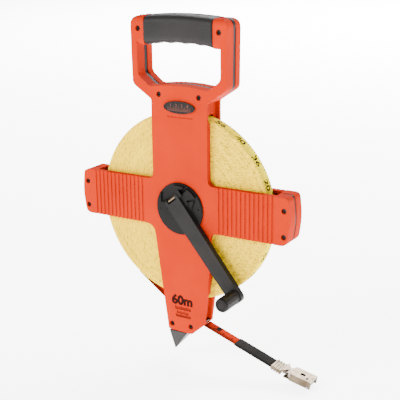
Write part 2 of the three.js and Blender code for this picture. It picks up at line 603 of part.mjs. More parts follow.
const ARM_END_RADIUS = 7.6;
const knuckle = crossRod((ARM_BACK - ARM_FRONT) / 2, arm0 - ARM_WIDTH / 2, arm0 + ARM_WIDTH / 2, 20);
const armOutline = outline([
  [FOLD_PIN_X, arm0 + ARM_WIDTH / 2, 0.01],
  [CRANK_RADIUS, arm0 + ARM_END_RADIUS, 0.01],
  [CRANK_RADIUS + ARM_END_RADIUS, arm0 + ARM_END_RADIUS, 7],
  [CRANK_RADIUS + ARM_END_RADIUS, arm0 - ARM_END_RADIUS, 7],
  [CRANK_RADIUS, arm0 - ARM_END_RADIUS, 0.01],
  [FOLD_PIN_X, arm0 - ARM_WIDTH / 2, 0.01],
]);
const KNOB_PIN_RADIUS = 2.5;
const arm = cut(
  unite(knuckle, slab(armOutline, ARM_FRONT, ARM_BACK)),
  crossRod(PIN_RADIUS + FIT, arm0 - 20, arm0 + 20, 16),
  box(FOLD_PIN_X - 6, FOLD_PIN_X + 2.8, -30, 0, arm0 - 5.5, arm0 + 5.5),
  rod(CRANK_RADIUS, arm0, KNOB_PIN_RADIUS + FIT, -30, 0),
  rod(CRANK_RADIUS, arm0, 4.3, ARM_BACK - 1.4, 0, 20),
);
add('crank_arm', arm, blackPlastic, crank);

const knobAxis = new THREE.Group();
knobAxis.position.set(CRANK_RADIUS, 0, arm0);
crank.add(knobAxis);
add('knob_pin', turned([
  [0, ARM_BACK - 0.2], [4, ARM_BACK - 0.2], [4, ARM_BACK - 1.1], [KNOB_PIN_RADIUS, ARM_BACK - 1.1],
  [KNOB_PIN_RADIUS, KNOB_END + 6], [0, KNOB_END + 6],
].reverse(), 20), steel, knobAxis);
const KNOB_BACK = ARM_FRONT - FIT;
const knobBody = turned([
  [KNOB_PIN_RADIUS + FIT, KNOB_BACK], [KNOB_RADIUS - 0.6, KNOB_BACK], [KNOB_RADIUS, KNOB_BACK - 1],
  [KNOB_RADIUS, KNOB_END + 2], [KNOB_RADIUS - 1.2, KNOB_END], [4.4, KNOB_END], [4.4, KNOB_END + 2.2],
  [KNOB_PIN_RADIUS + FIT, KNOB_END + 2.2], [KNOB_PIN_RADIUS + FIT, KNOB_BACK],
].reverse(), 24);
const FLUTES = 12;
const flutes = [...Array(FLUTES).keys()].map((i) => {
  const angle = (i + 0.5) * 2 * Math.PI / FLUTES;
  return rod((KNOB_RADIUS + 0.3) * Math.cos(angle), (KNOB_RADIUS + 0.3) * Math.sin(angle), 0.9,
    KNOB_END + 2.5, KNOB_BACK - 2, 6);
});
add('crank_knob', cut(knobBody, ...flutes), blackPlastic, knobAxis);
add('knob_cap', rod(0, 0, 4.1, KNOB_END + 0.2, KNOB_END + 1.9, 24), blackPlastic, knobAxis);

// ---------------------------------------------------------------- blade
const halfBlade = BLADE_WIDTH / 2;
add('blade_span', slab(ribbon(bladeRoute, BLADE_THICKNESS), -halfBlade, halfBlade), bladeRed);

// Free end: local X runs out along the blade from the mouth.
const freeEnd = new THREE.Group();
freeEnd.position.set(MOUTH.x, 0, MOUTH.z);
freeEnd.rotation.y = EXIT_TILT;
model.add(freeEnd);

add('blade_end', box(FIT, SLEEVE_END + 3, -halfBlade, halfBlade, -0.3, 0.3), bladeRed, freeEnd);
add('blade_sleeve', cut(
  box(SLEEVE_START, SLEEVE_END, -halfBlade - 1.1, halfBlade + 1.1, -1.5, 1.5),
  box(SLEEVE_START - 1, SLEEVE_END + 1, -halfBlade - FIT, halfBlade + FIT, -0.6, 0.6),
), blackPlastic, freeEnd);

// Crimped ferrule with raised ridges, open at the blade's end.
const CRIMP_START = SLEEVE_END + FIT;
const ridges = [0, 1, 2, 3].map((i) => {
  const x = CRIMP_START + 1.2 + i * 2.9;
  return box(x, x + 1.4, -8.3, 8.3, -2.4, 2.4);
});
add('blade_crimp', cut(
  unite(box(CRIMP_START, CRIMP_END, -7.7, 7.7, -1.7, 1.7), ...ridges),
  box(CRIMP_START - 1, SLEEVE_END + 3.5, -halfBlade - FIT, halfBlade + FIT, -0.6, 0.6),
), nickel, freeEnd);

const hookPivot = new THREE.Group();
hookPivot.position.x = CRIMP_END + 2 * FIT;
hookPivot.rotation.y = -HOOK_TILT;
freeEnd.add(hookPivot);
const hook = new THREE.Group();
hook.position.x = -hookPivot.position.x;
hookPivot.add(hook);

// Folded hook bracket: a top plate with turned-down sides, and a claw plate hinged at the tip.
const SHEET = 1.2;
const HOOK_HALF = 8.4;
const HOOK_TOP = 4.4;
const HOOK_LOW = -3.4;
const HOOK_PIN = { x: HOOK_END - 3.2, z: HOOK_LOW + 1.6, radius: 1 };
const notch = new THREE.Shape([
  new THREE.Vector2(HOOK_START + 3, -9.5), new THREE.Vector2(HOOK_START + 13, -9.5),
  new THREE.Vector2(HOOK_START + 9, -1.5),
]);
const notchCutter = new THREE.ExtrudeGeometry(notch, { depth: 12, bevelEnabled: false });
const notchPair = [
  notchCutter.clone().translate(0, 0, -1),
  notchCutter.clone().rotateX(Math.PI).translate(0, 0, 11),
];
const yoke = unite(
  box(HOOK_START + 3, HOOK_END, -HOOK_HALF, HOOK_HALF, HOOK_TOP - SHEET, HOOK_TOP),
  box(HOOK_START + 12, HOOK_END, -HOOK_HALF, -HOOK_HALF + SHEET, HOOK_LOW, HOOK_TOP),
  box(HOOK_START + 12, HOOK_END, HOOK_HALF - SHEET, HOOK_HALF, HOOK_LOW, HOOK_TOP),
  box(CRIMP_END + 2 * FIT, HOOK_START + 6, -5, 5, -SHEET / 2, HOOK_TOP),
);
const hookCross = (radius, y0, y1, sides = 16) => rod(HOOK_PIN.x, HOOK_PIN.z, radius, y0, y1, sides);
add('hook_bracket', cut(yoke, ...notchPair,
  box(HOOK_START + 20, HOOK_START + 25, -2, 2, 0, 8),
  box(HOOK_START + 28, HOOK_START + 29.6, -6, -2, 0, 8),
  hookCross(HOOK_PIN.radius + FIT, -12, 12)), nickel, hook);
const clawHalf = HOOK_HALF - SHEET - FIT;
add('hook_claw', cut(
  unite(box(HOOK_START + 5, HOOK_PIN.x, -clawHalf, clawHalf, HOOK_PIN.z - 1.8, HOOK_PIN.z - 1.8 + SHEET),
    hookCross(1.8, -clawHalf, clawHalf)),
  hookCross(HOOK_PIN.radius + FIT, -12, 12)), nickel, hook);
add('hook_pin', hookCross(HOOK_PIN.radius, -HOOK_HALF - 0.4, HOOK_HALF + 0.4), steel, hook);

// ---------------------------------------------------------------- badge
const badgeShape = new THREE.Shape();
badgeShape.absellipse(1.3, 101.8, 17.8, 6.2, 0, 2 * Math.PI);
add('badge', slab(badgeShape, FRONT_FACE - FIT - 1, FRONT_FACE - FIT, 8), blackPlastic);

export default reelTape;
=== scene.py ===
# Open-reel measuring tape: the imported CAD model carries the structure, and this script gives it its looks.
import bpy
import bmesh
import json
import math
import random
from mathutils import Matrix, Vector


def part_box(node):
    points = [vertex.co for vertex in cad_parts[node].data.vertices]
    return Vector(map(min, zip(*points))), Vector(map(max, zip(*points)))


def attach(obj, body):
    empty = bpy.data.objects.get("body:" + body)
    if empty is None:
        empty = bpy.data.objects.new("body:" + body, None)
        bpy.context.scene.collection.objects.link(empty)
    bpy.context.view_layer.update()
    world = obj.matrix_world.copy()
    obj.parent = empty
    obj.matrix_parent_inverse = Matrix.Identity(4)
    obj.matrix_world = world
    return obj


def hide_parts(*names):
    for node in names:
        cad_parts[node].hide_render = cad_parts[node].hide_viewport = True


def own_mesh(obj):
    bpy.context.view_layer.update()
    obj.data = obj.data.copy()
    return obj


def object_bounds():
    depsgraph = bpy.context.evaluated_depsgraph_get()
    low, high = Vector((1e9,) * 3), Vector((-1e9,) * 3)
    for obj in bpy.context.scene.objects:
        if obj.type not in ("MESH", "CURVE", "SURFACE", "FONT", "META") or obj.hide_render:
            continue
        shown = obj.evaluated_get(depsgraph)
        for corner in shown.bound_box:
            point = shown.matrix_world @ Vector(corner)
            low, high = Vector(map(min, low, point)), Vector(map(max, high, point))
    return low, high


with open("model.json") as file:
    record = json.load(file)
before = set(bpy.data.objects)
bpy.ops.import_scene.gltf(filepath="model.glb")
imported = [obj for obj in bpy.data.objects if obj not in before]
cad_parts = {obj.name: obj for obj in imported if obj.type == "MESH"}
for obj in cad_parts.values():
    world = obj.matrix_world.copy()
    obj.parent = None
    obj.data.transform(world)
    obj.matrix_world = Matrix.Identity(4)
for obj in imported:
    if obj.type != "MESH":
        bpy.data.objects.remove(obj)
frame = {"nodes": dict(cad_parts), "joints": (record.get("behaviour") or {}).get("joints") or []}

MM = 0.001
nodes = frame["nodes"]
joints = {joint["name"]: joint for joint in frame["joints"]}
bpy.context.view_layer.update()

# The camera, as it was fitted to the photograph.
CAMERA_AZIMUTH = math.radians(30.993)
CAMERA_ELEVATION = math.radians(16.524)
CAMERA_ROLL = math.radians(-0.702)
CAMERA_DISTANCE = 929.6 * MM
CAMERA_TARGET = Vector((15.09, 0, 7.63)) * MM  # from the middle of the reel
CAMERA_LENS = 84.15
SENSOR_WIDTH = 36

# Strengths of the world, the four lamps and the floor's own glow.
WORLD_STRENGTH = 0.7
KEY_POWER = 50
FILL_POWER = 1.5
TOP_POWER = 10
BACKDROP_POWER = 1900
FLOOR_GLOW = 5

# Colours of the coil's sides: the layers, painted shade in the gaps between them, and the dots of print.
COIL_LIGHT = (0.84, 0.56, 0.0005)
COIL_SHADE = (0.54, 0.34, 0.0005)
COIL_DOT = (0.15, 0.083, 0.0005)

BLADE_THICKNESS = 0.5 * MM
PRINT_THICKNESS = 0.06 * MM
PRINT_ROOT = -0.02 * MM  # print on the frame starts just below its face
BADGE_ROOT = -0.05 * MM  # the badge's raised scale starts just below its face
BADGE_TOP = 0.2 * MM


def middle(node):
    low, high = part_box(node)
    return (low + high) / 2


REEL = middle("wound_tape")  # the reel's axis runs along Y through this point
COIL_RADIUS = (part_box("wound_tape")[1].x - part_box("wound_tape")[0].x) / 2
HALF_BLADE = (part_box("wound_tape")[1].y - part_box("wound_tape")[0].y) / 2
FRONT_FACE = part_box("front_frame")[0].y


# ---------------------------------------------------------------- camera
def make_camera():
    toward_camera = Vector((
        math.sin(CAMERA_AZIMUTH) * math.cos(CAMERA_ELEVATION),
        -math.cos(CAMERA_AZIMUTH) * math.cos(CAMERA_ELEVATION),
        math.sin(CAMERA_ELEVATION),
    ))
    right = Vector((math.cos(CAMERA_AZIMUTH), math.sin(CAMERA_AZIMUTH), 0))
    up = toward_camera.cross(right)
    rolled_right = right * math.cos(CAMERA_ROLL) + up * math.sin(CAMERA_ROLL)
    rolled_up = up * math.cos(CAMERA_ROLL) - right * math.sin(CAMERA_ROLL)
    camera = bpy.data.objects.new("camera", bpy.data.cameras.new("camera"))
    camera.data.lens = CAMERA_LENS
    camera.data.sensor_width = SENSOR_WIDTH
    camera.data.clip_end = 20
    rotation = Matrix((rolled_right, rolled_up, toward_camera)).transposed().to_4x4()
    place = REEL + CAMERA_TARGET + toward_camera * CAMERA_DISTANCE
    camera.matrix_world = Matrix.Translation(place) @ rotation
    bpy.context.scene.collection.objects.link(camera)
    bpy.context.scene.camera = camera


make_camera()


# ---------------------------------------------------------------- node materials
class Shader:
    """A Principled material with helpers that add and wire up procedural nodes."""

    def __init__(self, name, roughness=0.5, metallic=0.0, **constants):
        self.material = bpy.data.materials.new(name)
        self.material.use_nodes = True
        self.tree = self.material.node_tree
        self.bsdf = self.tree.nodes["Principled BSDF"]
        self.bsdf.inputs["Roughness"].default_value = roughness
        self.bsdf.inputs["Metallic"].default_value = metallic
        for socket, value in constants.items():
            self.bsdf.inputs[socket.replace("_", " ")].default_value = value

    def node(self, kind, inputs=None, **settings):
        made = self.tree.nodes.new(kind)
        for key, value in settings.items():
            setattr(made, key, value)
        for key, value in (inputs or {}).items():
            if isinstance(value, bpy.types.NodeSocket):
                self.tree.links.new(value, made.inputs[key])
            else:
                made.inputs[key].default_value = value
        return made

    def position(self):
        return self.node("ShaderNodeTexCoord").outputs["Object"]

    def noise(self, scale, detail=3.0, roughness=0.55, vector=None):
        place = vector or self.position()
        inputs = {"Vector": place, "Scale": scale, "Detail": detail, "Roughness": roughness}
        return self.node("ShaderNodeTexNoise", inputs).outputs["Fac"]

    def math(self, operation, a, b=0.0):
        return self.node("ShaderNodeMath", {0: a, 1: b}, operation=operation).outputs[0]

    def spread(self, value, low, high, to_low=0.0, to_high=1.0):
        inputs = {"Value": value, "From Min": low, "From Max": high, "To Min": to_low, "To Max": to_high}
        return self.node("ShaderNodeMapRange", inputs).outputs["Result"]

    def mix(self, factor, a, b):
        made = self.node("ShaderNodeMix", data_type="RGBA")
        for key, value in ((0, factor), (6, a), (7, b)):
            if isinstance(value, bpy.types.NodeSocket):
                self.tree.links.new(value, made.inputs[key])
            elif key == 0:
                made.inputs[key].default_value = value
            else:
                made.inputs[key].default_value = (*value, 1)
        return made.outputs[2]

    def colour(self, socket):
        self.tree.links.new(socket, self.bsdf.inputs["Base Color"])

    def rough(self, socket):
        self.tree.links.new(socket, self.bsdf.inputs["Roughness"])

    def bump(self, height, strength, distance=0.0002):
        inputs = {"Height": height, "Strength": strength, "Distance": distance}
        made = self.node("ShaderNodeBump", inputs)
        self.tree.links.new(made.outputs["Normal"], self.bsdf.inputs["Normal"])


# ---------------------------------------------------------------- materials
def moulded(name, base, shade, roughness, grain=0.1, specular=0.2):
    """Moulded plastic: faint clouding, a fine spark-eroded grain and small changes of gloss."""
    s = Shader(name, roughness, Specular_IOR_Level=specular)
    cloud = s.spread(s.noise(28, 4), 0.3, 0.7)
    speck = s.spread(s.noise(900, 2), 0.62, 0.75, 0.0, 0.35)
    s.colour(s.mix(speck, s.mix(cloud, shade, base), shade))
    s.bump(s.noise(1500, 2), grain, 0.0001)
    s.rough(s.spread(s.noise(60, 5), 0.3, 0.7, roughness - 0.06, roughness + 0.06))
    return s.material


def plated(name, base, shade, roughness):
    """Bright plated sheet metal: faint drawing lines, and darker patches that are partly tarnish and partly
    painted reflection of dark surroundings.
    """
    s = Shader(name, roughness, 1.0)
    line_scale = 420
    # The darker colour in these patches is partly tarnish and partly painted reflection, standing in for the
    # dark surroundings that plated metal mirrors.
    tarnish_and_reflection = s.spread(s.noise(90, 4), 0.35, 0.7)
    s.colour(s.mix(tarnish_and_reflection, base, shade))
    s.rough(s.spread(s.noise(line_scale, 5), 0.3, 0.7, roughness - 0.08, roughness + 0.1))
    s.bump(s.noise(line_scale * 3, 2), 0.1, 0.00005)
    return s.material


def wound_edges(name):
    """The coil's sides: every layer of blade shows as a thin ring, with dots where the print wraps over."""
    s = Shader(name, 0.55, Specular_IOR_Level=0.02)
    split = s.node("ShaderNodeSeparateXYZ", {0: s.position()})
    x = split.outputs[0]
    z = s.math("SUBTRACT", split.outputs[2], REEL.z)
    radius = s.math("SQRT", s.math("ADD", s.math("MULTIPLY", x, x), s.math("MULTIPLY", z, z)))
    angle = s.math("ARCTAN2", z, x)
    dot_pitch = 1.15 * MM  # between the rings of dots
    layer = s.math("FLOOR", s.math("MULTIPLY", radius, 1 / dot_pitch))
    ring_place = s.node("ShaderNodeCombineXYZ", {
        0: s.math("MULTIPLY", radius, 900),
        1: s.math("MULTIPLY", angle, 0.7),
    })
    rings = s.noise(1.0, 3, 0.7, ring_place.outputs[0])
    dot_place = s.node("ShaderNodeCombineXYZ", {
        0: s.math("MULTIPLY", s.math("MULTIPLY", angle, radius), 760),
        1: s.math("MULTIPLY", layer, 7.3),
    })
    dots = s.noise(1.0, 1, 0.5, dot_place.outputs[0])
    # The darker rings between the layers are painted shade in the gaps.
    ringed = s.mix(s.spread(rings, 0.22, 0.6), COIL_SHADE, COIL_LIGHT)
    s.colour(s.mix(s.spread(dots, 0.52, 0.64, 0.0, 0.7), ringed, COIL_DOT))
    s.bump(rings, 0.35, 0.0002)
    return s.material


ORANGE = moulded("orange_plastic", (0.365, 0.0155, 0.0003), (0.32, 0.0125, 0.0002), 0.6, specular=0.01)
BLACK = moulded("black_plastic", (0.012, 0.0108, 0.01), (0.0075, 0.0069, 0.0065), 0.42, specular=0.06)
# The crank disc is darker than the other black parts: painted shade for the shade in its recessed wells.
DISC_SHADED_BLACK = moulded("disc_shaded_black", (0.0075, 0.0068, 0.0063), (0.005, 0.0046, 0.0043), 0.45, specular=0.05)
RUBBER = moulded("grip_rubber", (0.013, 0.0117, 0.011), (0.0085, 0.0077, 0.0073), 0.5,
                  grain=0.35, specular=0.09)
# Near-black for the liner in the handle's seam, and for the strips at the arms' ends, which are painted
# shade standing in for the shadowed gap between the frame halves.
SEAM_LINER_AND_GAP_SHADE = moulded("seam_liner_and_gap_shade", (0.006, 0.004, 0.0035), (0.004, 0.003, 0.003), 0.5, specular=0.06)
ACETAL = moulded("acetal", (0.6, 0.58, 0.5), (0.52, 0.5, 0.44), 0.4)
# The second colour of each plated metal fills its patches of tarnish and painted reflection.
NICKEL = plated("nickel", (0.11, 0.084, 0.055), (0.045, 0.031, 0.018), 0.2)
STEEL = plated("steel", (0.3, 0.3, 0.3), (0.22, 0.215, 0.21), 0.35)
BLACK_STEEL = plated("black_screws", (0.02, 0.017, 0.017), (0.035, 0.022, 0.02), 0.4)
COIL_EDGES = wound_edges("coil_edges")
BLADE_YELLOW = moulded("blade_yellow", (0.74, 0.58, 0.0005), (0.64, 0.49, 0.0005), 0.6, specular=0.0)
BLADE_RED = moulded("blade_red", (0.38, 0.02, 0.003), (0.31, 0.013, 0.002), 0.6, specular=0.0)
INK = moulded("black_ink", (0.006, 0.0045, 0.003), (0.01, 0.007, 0.004), 0.6, specular=0.01)
RED_INK = moulded("brown_ink", (0.014, 0.003, 0.002), (0.01, 0.0024, 0.0016), 0.5, specular=0.02)
BADGE_INK = moulded("badge_ink", (0.085, 0.03, 0.022), (0.05, 0.018, 0.013), 0.5, specular=0.1)
HEAT_SHRINK = moulded("heat_shrink", (0.017, 0.0155, 0.0145), (0.009, 0.0082, 0.0078), 0.6,
                       grain=0.4, specular=0.02)


# ---------------------------------------------------------------- mesh helpers
def piece(name, verts, faces, material, body, slot, replaces=(), smooth=True):
    mesh = bpy.data.meshes.new(name)
    mesh.from_pydata([tuple(v) for v in verts], [], faces)
    mesh.polygons.foreach_set("use_smooth", [smooth] * len(mesh.polygons))
    mesh.materials.append(material)
    obj = bpy.data.objects.new(name, mesh)
    bpy.context.scene.collection.objects.link(obj)
    work = bmesh.new()
    work.from_mesh(mesh)
    bmesh.ops.recalc_face_normals(work, faces=work.faces)
    work.to_mesh(mesh)
    work.free()
    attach(obj, body)
    if replaces:
        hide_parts(*replaces)
    return obj


def soften(obj, width, segments=2, angle=35):
    bevel = obj.modifiers.new("bevel", "BEVEL")
    bevel.width = width
    bevel.segments = segments
    bevel.limit_method = "ANGLE"
    bevel.angle_limit = math.radians(angle)
    normal = obj.modifiers.new("normal", "WEIGHTED_NORMAL")
    normal.keep_sharp = False


def grid_faces(rows, columns, close_rows=False):
    """Quads between closed rows of points that are numbered row by row."""
    faces = []
    for i in range(rows if close_rows else rows - 1):
        for j in range(columns):
            a, b = i * columns, (i + 1) % rows * columns
            k = (j + 1) % columns
            faces.append((a + j, a + k, b + k, b + j))
    return faces


def points_of(sections):
    return [point for section in sections for point in section]


def loft(sections):
    """A closed solid through sections with the same number of points, capped at both ends."""
    columns = len(sections[0])
    faces = grid_faces(len(sections), columns)
    last = (len(sections) - 1) * columns
    faces.append(tuple(reversed(range(columns))))
    faces.append(tuple(range(last, last + columns)))
    return points_of(sections), faces


def join(parts):
    """Several vertex and face lists as one."""
    verts = []
    faces = []
    for part_verts, part_faces in parts:
        start = len(verts)
        verts += part_verts
        faces += [tuple(start + i for i in face) for face in part_faces]
    return verts, faces


def block(u0, u1, v0, v1, w0, w1, place):
    """A thin box in a piece's own u, v, w directions, put in place by a function."""
    corners = ((v0, w0), (v1, w0), (v1, w1), (v0, w1))
    return loft([[place(u, v, w) for v, w in corners] for u in (u0, u1)])


def numeral(text, height, depth, place, stroke=0.045):
    """Raised numerals, centred, with their reading direction along u and their height along v."""
    curve = bpy.data.curves.new("numeral", "FONT")
    curve.body = text
    curve.size = height / 0.7
    curve.align_x = "CENTER"
    curve.extrude = depth / 2
    curve.resolution_u = 4
    curve.offset = height * stroke
    holder = bpy.data.objects.new("numeral", curve)
    mesh = bpy.data.meshes.new_from_object(holder)
    verts = [place(v.co.x, v.co.y - height / 2, v.co.z) for v in mesh.vertices]
    faces = [tuple(face.vertices) for face in mesh.polygons]
    bpy.data.objects.remove(holder)
    bpy.data.curves.remove(curve)
    bpy.data.meshes.remove(mesh)
    return verts, faces


# ---------------------------------------------------------------- the wound coil
def on_rim(turn, across, out=0.0):
    """A point on the coil's outside, at an angle from +X towards +Z."""
    radius = COIL_RADIUS + out
    return REEL + Vector((radius * math.cos(turn), across, radius * math.sin(turn)))


def make_coil():
    """The coil as one ring, whose sides step in and out from layer to layer."""
    rng = random.Random(7)
    corner = 0.35 * MM  # how far a layer stands back at its inner edge
    rim_band = 1.4 * MM  # the last layer starts within this distance of the rim
    smooth_band = 2 * MM  # no ripple this close to the rim
    front = []
    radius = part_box("reel_hub")[1].x - REEL.x + 0.3 * MM
    while radius < COIL_RADIUS - rim_band:
        pitch = rng.uniform(0.75, 1.25) * MM
        height = HALF_BLADE - rng.uniform(0.0, 0.3) * MM
        front += [(radius, height - corner), (radius + 0.2 * pitch, height), (radius + 0.8 * pitch, height)]
        radius += pitch
    front += [
        (radius, HALF_BLADE - 0.3 * MM),
        (COIL_RADIUS - corner, HALF_BLADE),
        (COIL_RADIUS, HALF_BLADE - 0.2 * MM),
    ]
    section = [(r, -y) for r, y in front] + [(r, y) for r, y in reversed(front)]
    stations = 168
    verts = []
    for i in range(stations):
        angle = math.tau * i / stations
        sway = 0.1 * MM * math.sin(3 * angle + 1) + 0.06 * MM * math.sin(7 * angle)
        for r, y in section:
            ripple = sway * math.sin(r / MM * 0.9) if r < COIL_RADIUS - smooth_band else 0.0
            verts.append(REEL + Vector((r * math.cos(angle), y + ripple, r * math.sin(angle))))
    coil = piece("tape_coil", verts, grid_faces(stations, len(section), close_rows=True), COIL_EDGES,
                 "reel", "blade_yellow", ["wound_tape"])
    coil.data.materials.append(BLADE_YELLOW)
    rim = len(front) - 1
    for i, face in enumerate(coil.data.polygons):
        if i % len(section) == rim:
            face.material_index = 1


def make_coil_print():
    """Ticks along both edges of the outermost turn, and its numerals."""
    parts = []
    tick_step = 3.2 * MM / COIL_RADIUS
    half = 0.45 * MM / COIL_RADIUS
    tick_rise = 0.05 * MM
    root = HALF_BLADE - 0.1 * MM
    for i in range(int(math.tau / tick_step)):
        turn = i * tick_step
        length = (3.4 if i % 5 == 0 else 1.9) * MM
        for edge, share in ((-1, 0.5), (1, 1)):
            y0, y1 = sorted((edge * root, edge * (root - length * share)))
            parts.append(block(turn - half, turn + half, y0, y1, 0.0, tick_rise, on_rim))
    numerals = 24
    for i in range(numerals):
        centre = math.tau * (i + 0.35) / numerals
        digits = str(i % 9 + 1) + ("0" if i % 2 else "6")

        def on_turn(u, v, w, centre=centre):
            return on_rim(centre - u * 1.25 / COIL_RADIUS, -0.6 * MM + v, w)

        parts.append(numeral(digits, 6.6 * MM, PRINT_THICKNESS, on_turn))
    piece("coil_print", *join(parts), INK, "reel", "black_plastic", smooth=False)


make_coil()
make_coil_print()


# ---------------------------------------------------------------- the blade outside the coil
EXIT = Vector(joints["blade_pull"]["axis"]).normalized()  # the free end runs this way out of the mouth
EXIT_UP = Vector((-EXIT.z, 0, EXIT.x))
MOUTH = REEL + Vector((22.0, 0, -124.2)) * MM


def along_exit(u, v, w=0.0):
    return MOUTH + EXIT * u + Vector((0, v, 0)) + EXIT_UP * w


def blade_path():
    """From the coil's underside, over the two guide rollers and out of the mouth."""
    leave = math.radians(-125.6)  # where the blade leaves the coil
    radius = COIL_RADIUS + 0.5 * MM
    start = REEL + Vector((math.cos(leave), 0, math.sin(leave))) * radius
    # points over the guide rollers and at the mouth, in mm from the reel's axis
    corners = [(-26.0, -100.8), (-8.0, -111.2), (12.0, -119.6), (21.6, -124.0)]
    return [start] + [REEL + Vector((x, 0, z)) * MM for x, z in corners]


def ribbon(path, half_width, thickness):
    sections = []
    for i, point in enumerate(path):
        ahead = (path[min(i + 1, len(path) - 1)] - path[max(i - 1, 0)]).normalized()
        up = Vector((-ahead.z, 0, ahead.x)) * thickness / 2
        side = Vector((0, half_width, 0))
        sections.append([point - side - up, point + side - up, point + side + up, point - side + up])
    return loft(sections)


def path_place(path):
    """Turns a distance along the path, a place across it and a height into a point."""
    def place(u, v, w=0.0):
        left = u
        for start, end in zip(path, path[1:]):
            length = (end - start).length
            ahead = (end - start).normalized()
            if left <= length or end is path[-1]:
                return start + ahead * left + Vector((0, v, 0)) + Vector((-ahead.z, 0, ahead.x)) * w
            left -= length
    return place


def blade_marks(length, place, height, first_number):
    """Division marks from the front edge, and a numeral every 24 mm."""
    parts = []
    step = 2.1 * MM
    half = 0.5 * MM
    for i in range(1, int(length / step)):
        reach = (6.5 if i % 5 == 0 else 4.0) * MM
        u = i * step
        parts.append(block(u - half, u + half, -HALF_BLADE + 0.1 * MM, -HALF_BLADE + reach,
                           height, height + PRINT_THICKNESS, place))
    spacing = 24
    for i in range(int(length / (spacing * MM))):
        start = (8 + spacing * i) * MM

        def on_blade(a, b, w, start=start):
            return place(start + b, -a * 1.1 + 2.2 * MM, height + w)

        parts.append(numeral(str(first_number + i), 4.6 * MM, 0.08 * MM, on_blade))
    return parts


def make_blade():
    surface = BLADE_THICKNESS / 2
    path = blade_path()
    inner = piece("blade_inner", *ribbon(path, HALF_BLADE, BLADE_THICKNESS), BLADE_RED,
                  "frame", "blade_red", ["blade_span"])
    soften(inner, 0.12 * MM)
    length = sum((b - a).length for a, b in zip(path, path[1:]))
    marks = blade_marks(length - 4 * MM, path_place(path), surface, 3)
    piece("blade_inner_print", *join(marks), INK, "frame", "black_plastic", smooth=False)

    sleeve_start, sleeve_end = 37.5 * MM, 81 * MM
    stations = [i * 4.2 * MM for i in range(21)]
    free = piece("blade_free", *ribbon([along_exit(u, 0) for u in stations], HALF_BLADE, BLADE_THICKNESS),
                 BLADE_RED, "frame", "blade_red", ["blade_end"])
    marks = blade_marks(sleeve_start - 1 * MM, along_exit, surface, 1)
    # a dark printed patch beside the first numeral
    marks.append(block(11.2 * MM, 16.2 * MM, -1.5 * MM, 5.4 * MM, surface, 0.34 * MM, along_exit))
    printed = piece("blade_free_print", *join(marks), INK, "frame", "black_plastic", smooth=False)
    boot = make_boot(sleeve_start, sleeve_end)
    for part in (free, printed, boot):
        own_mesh(part)


def make_boot(start, end):
    """Shrunk sleeve over the blade's end: rounded edges, slightly uneven, with small wrinkles."""
    around = 28
    count = 40
    sections = []
    for i in range(count + 1):
        share = i / count
        u = start + (end - start) * share
        ease = min(1.0, 0.72 + 3.2 * share, 0.72 + 6 * (1 - share))
        swell = 1 + 0.025 * math.sin(share * 21) + 0.02 * math.sin(share * 47 + 1)
        half_width = (HALF_BLADE + 1.1 * MM) * (1 - 0.04 * (1 - ease)) * (1 + 0.01 * math.sin(share * 13))
        half_height = 1.5 * MM * ease * swell
        section = []
        for j in range(around):
            angle = math.tau * j / around
            c, s = math.cos(angle), math.sin(angle)
            v = half_width * math.copysign(abs(c) ** 0.4, c)
            w = half_height * math.copysign(abs(s) ** 0.7, s)
            section.append(along_exit(u, v, w))
        sections.append(section)
    return piece("blade_boot", *loft(sections), HEAT_SHRINK, "frame", "black_plastic", ["blade_sleeve"])


make_blade()


